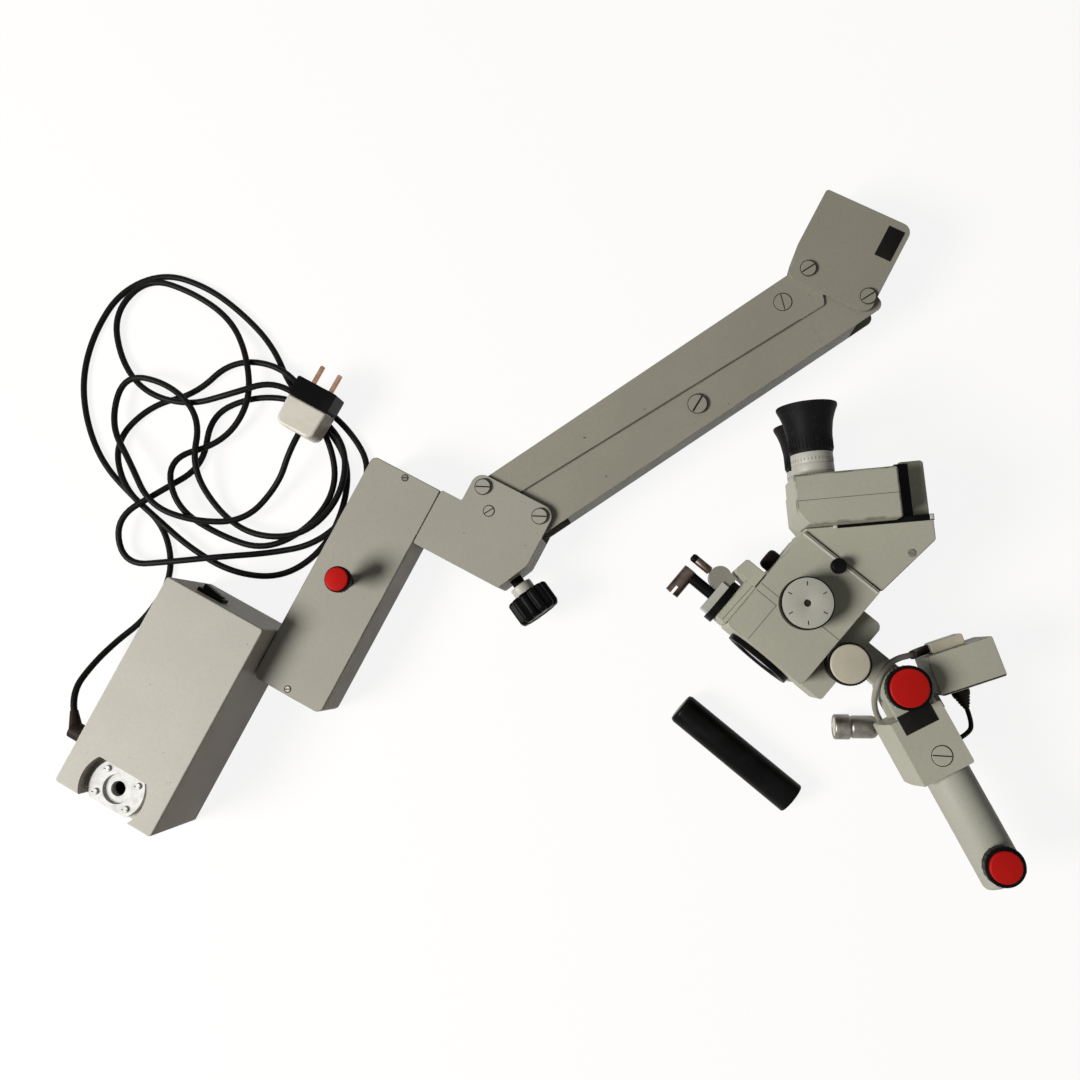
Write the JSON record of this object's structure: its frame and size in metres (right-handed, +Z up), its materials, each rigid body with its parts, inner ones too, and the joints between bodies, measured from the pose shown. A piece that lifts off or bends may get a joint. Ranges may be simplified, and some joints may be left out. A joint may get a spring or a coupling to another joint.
{
  "type": "surgical microscope",
  "caption": "Binocular surgical microscope head on a tilt arm, with its spring-balanced swivel arm, power box, mains lead and a loose tube, laid out flat.",
  "frame": {"origin": "on the surface, under the middle of the whole layout's box without its cords", "axes": "+X to the picture's right, along the longest extent; +Y to the picture's top; +Z up from the surface"},
  "size_m": [0.8582, 0.5998, 0.124],
  "materials": {
    "box_paint": "fine satin enamel, pale grey beige",
    "arm_paint": "satin enamel, grey beige",
    "head_paint": "satin enamel, grey beige",
    "bare_steel": "turned",
    "bright_zinc": "cast and machined",
    "black_plastic": "moulded",
    "red_plastic": "moulded",
    "cream_plastic": "moulded",
    "black_rubber": "soft",
    "cord_sheath": "smooth",
    "grey_sheath": "smooth",
    "copper_winding": "enamelled wire",
    "brass_pin": "plain",
    "coated_glass": "coated"
  },
  "bodies": {
    "power_box": {"power_case": "box_paint", "power_back_plate": "box_paint", "mounting_flange": "bright_zinc", "flange_screws": "bare_steel", "mains_transformer": "copper_winding", "switch_frame": "black_plastic", "lead_socket": "bare_steel", "lead_plug": "black_plastic", "box_swivel_shaft": "bare_steel", "mains_cord": "cord_sheath", "plug_cover": "cream_plastic", "plug_base": "black_plastic", "plug_pins": "brass_pin"},
    "power_switch": {"switch_rocker": "black_plastic"},
    "swivel_arm": {"swivel_arm": "arm_paint", "swivel_arm_cover": "arm_paint", "bracket_swivel_shaft": "bare_steel"},
    "arm_knob": {"arm_knob": "black_plastic", "arm_knob_cap": "red_plastic"},
    "joint_bracket": {"joint_bracket": "arm_paint", "bracket_pins": "bare_steel"},
    "tension_knob": {"tension_knob": "black_plastic"},
    "upper_link": {"upper_link": "arm_paint", "balance_spring": "bare_steel"},
    "lower_link": {"lower_link": "arm_paint"},
    "end_bracket": {"end_bracket": "arm_paint", "end_pins": "bare_steel"},
    "head_arm": {"arm_housing": "head_paint", "tilt_shaft": "bare_steel", "tube_arm": "head_paint", "lamp_housing": "head_paint", "lamp_socket": "cream_plastic", "lamp_boot": "black_rubber", "lamp_cable": "grey_sheath", "lamp_lead": "cord_sheath", "cable_connector": "bare_steel"},
    "end_knob": {"end_knob": "black_plastic", "end_knob_cap": "red_plastic"},
    "tilt_knob": {"tilt_knob": "black_plastic", "tilt_knob_cap": "red_plastic"},
    "focus_carrier": {"focus_carrier": "head_paint"},
    "focus_knob": {"focus_knob": "cream_plastic"},
    "optical_body": {"optical_housing": "head_paint", "objective_ring": "black_plastic", "objective_lens": "coated_glass", "illumination_block": "head_paint", "filter_knob": "black_plastic", "port_flange": "bare_steel"},
    "magnification_dials": {"magnification_dials": "head_paint"},
    "port_lever": {"port_lever": "brass_pin"},
    "coupling_screw": {"coupling_screw": "black_plastic"},
    "binocular": {"binocular_base": "head_paint", "binocular_hood": "head_paint"},
    "near_prism": {"prism_near": "head_paint"},
    "far_prism": {"prism_far": "head_paint"},
    "near_eyepiece": {"eyepiece_near": "cream_plastic", "eyecup_near": "black_rubber"},
    "far_eyepiece": {"eyepiece_far": "cream_plastic", "eyecup_far": "black_rubber"},
    "black_tube": {"black_tube": "black_plastic"}
  },
  "joints": [
    {"name": "switch_tip", "type": "hinge", "parent": "power_box", "child": "power_switch", "pos_m": [-0.27692, -0.05828, 0.07], "axis": [0, 0, 1], "range_deg": [0, 10]},
    {"name": "arm_swivel", "type": "hinge", "parent": "power_box", "child": "swivel_arm", "pos_m": [-0.23305, -0.10986, 0.0325], "axis": [0.8819, -0.4715, 0], "range_deg": [0, 90]},
    {"name": "arm_knob_turn", "type": "hinge", "parent": "swivel_arm", "child": "arm_knob", "pos_m": [-0.15746, -0.04482, 0.07], "axis": [0, 0, 1], "range_deg": [0, 180]},
    {"name": "bracket_swivel", "type": "hinge", "parent": "swivel_arm", "child": "joint_bracket", "pos_m": [-0.08699, 0.01276, 0.0325], "axis": [0.8819, -0.4715, 0], "range_deg": [0, 90]},
    {"name": "tension_turn", "type": "hinge", "parent": "joint_bracket", "child": "tension_knob", "pos_m": [-0.00973, -0.04147, 0.0325], "axis": [0.5859, -0.8103, 0], "continuous": true},
    {"name": "upper_link_turn", "type": "hinge", "parent": "joint_bracket", "child": "upper_link", "pos_m": [-0.03591, 0.03852, 0.0325], "axis": [0, 0, 1], "range_deg": [-4, 55]},
    {"name": "lower_link_turn", "type": "hinge", "parent": "joint_bracket", "child": "lower_link", "pos_m": [0.01462, 0.01151, 0.0325], "axis": [0, 0, 1], "range_deg": [-4, 55]},
    {"name": "end_bracket_turn", "type": "hinge", "parent": "upper_link", "child": "end_bracket", "pos_m": [0.25205, 0.22854, 0.0325], "axis": [0, 0, 1], "range_deg": [-55, 4]},
    {"name": "head_lift", "type": "slide", "parent": "power_box", "child": "head_arm", "axis": [0, 0, 1], "range_m": [0, 0.2]},
    {"name": "end_knob_turn", "type": "hinge", "parent": "head_arm", "child": "end_knob", "pos_m": [0.38423, -0.27479, 0.087], "axis": [0, 0, 1], "range_deg": [0, 180]},
    {"name": "tilt_knob_turn", "type": "hinge", "parent": "head_arm", "child": "tilt_knob", "pos_m": [0.3154, -0.1359, 0.092], "axis": [0, 0, 1], "range_deg": [0, 180]},
    {"name": "head_tilt", "type": "hinge", "parent": "head_arm", "child": "focus_carrier", "pos_m": [0.3154, -0.1359, 0.062], "axis": [0, 0, 1], "range_deg": [-40, 5]},
    {"name": "focus_slide", "type": "slide", "parent": "focus_carrier", "child": "optical_body", "axis": [0.6494, 0.7604, 0], "range_m": [-0.015, 0.015]},
    {"name": "focus_turn", "type": "hinge", "parent": "focus_carrier", "child": "focus_knob", "pos_m": [0.26672, -0.11674, 0.092], "axis": [0, 0, 1], "range_deg": [-110, 110]},
    {"name": "dial_turn", "type": "hinge", "parent": "optical_body", "child": "magnification_dials", "pos_m": [0.23351, -0.06878, 0.062], "axis": [0, 0, 1], "continuous": true},
    {"name": "port_lever_turn", "type": "hinge", "parent": "optical_body", "child": "port_lever", "pos_m": [0.16032, -0.03638, 0.058], "axis": [-0.7604, 0.6494, 0], "range_deg": [-30, 30]},
    {"name": "coupling_screw_turn", "type": "hinge", "parent": "optical_body", "child": "coupling_screw", "pos_m": [0.26112, -0.03831, 0.106], "axis": [0, 0, 1], "range_deg": [0, 180]},
    {"name": "binocular_turn", "type": "hinge", "parent": "optical_body", "child": "binocular", "pos_m": [0.26658, -0.03469, 0.062], "axis": [0.6494, 0.7604, 0], "range_deg": [0, 40]},
    {"name": "near_eye_swing", "type": "hinge", "parent": "binocular", "child": "near_prism", "pos_m": [0.28082, 0.01202, 0.0975], "axis": [-0.0785, 0.9969, 0], "range_deg": [-10, 0]},
    {"name": "far_eye_swing", "type": "hinge", "parent": "binocular", "child": "far_prism", "pos_m": [0.28082, 0.01202, 0.0265], "axis": [-0.0785, 0.9969, 0], "range_deg": [0, 10]},
    {"name": "near_focus_ring", "type": "hinge", "parent": "near_prism", "child": "near_eyepiece", "pos_m": [0.24557, 0.03934, 0.095], "axis": [-0.0785, 0.9969, 0], "range_deg": [-120, 120]},
    {"name": "far_focus_ring", "type": "hinge", "parent": "far_prism", "child": "far_eyepiece", "pos_m": [0.25175, 0.03732, 0.029], "axis": [-0.0785, 0.9969, 0], "range_deg": [-120, 120]},
    {"name": "tube_lift", "type": "slide", "parent": "power_box", "child": "black_tube", "axis": [0, 0, 1], "range_m": [0, 0.2]}
  ],
  "couplings": [
    {"joint": "lower_link_turn", "follows": "upper_link_turn", "ratio": 1},
    {"joint": "end_bracket_turn", "follows": "upper_link_turn", "ratio": -1},
    {"joint": "focus_turn", "follows": "focus_slide", "rad_per_m": 125},
    {"joint": "far_eye_swing", "follows": "near_eye_swing", "ratio": -1}
  ]
}
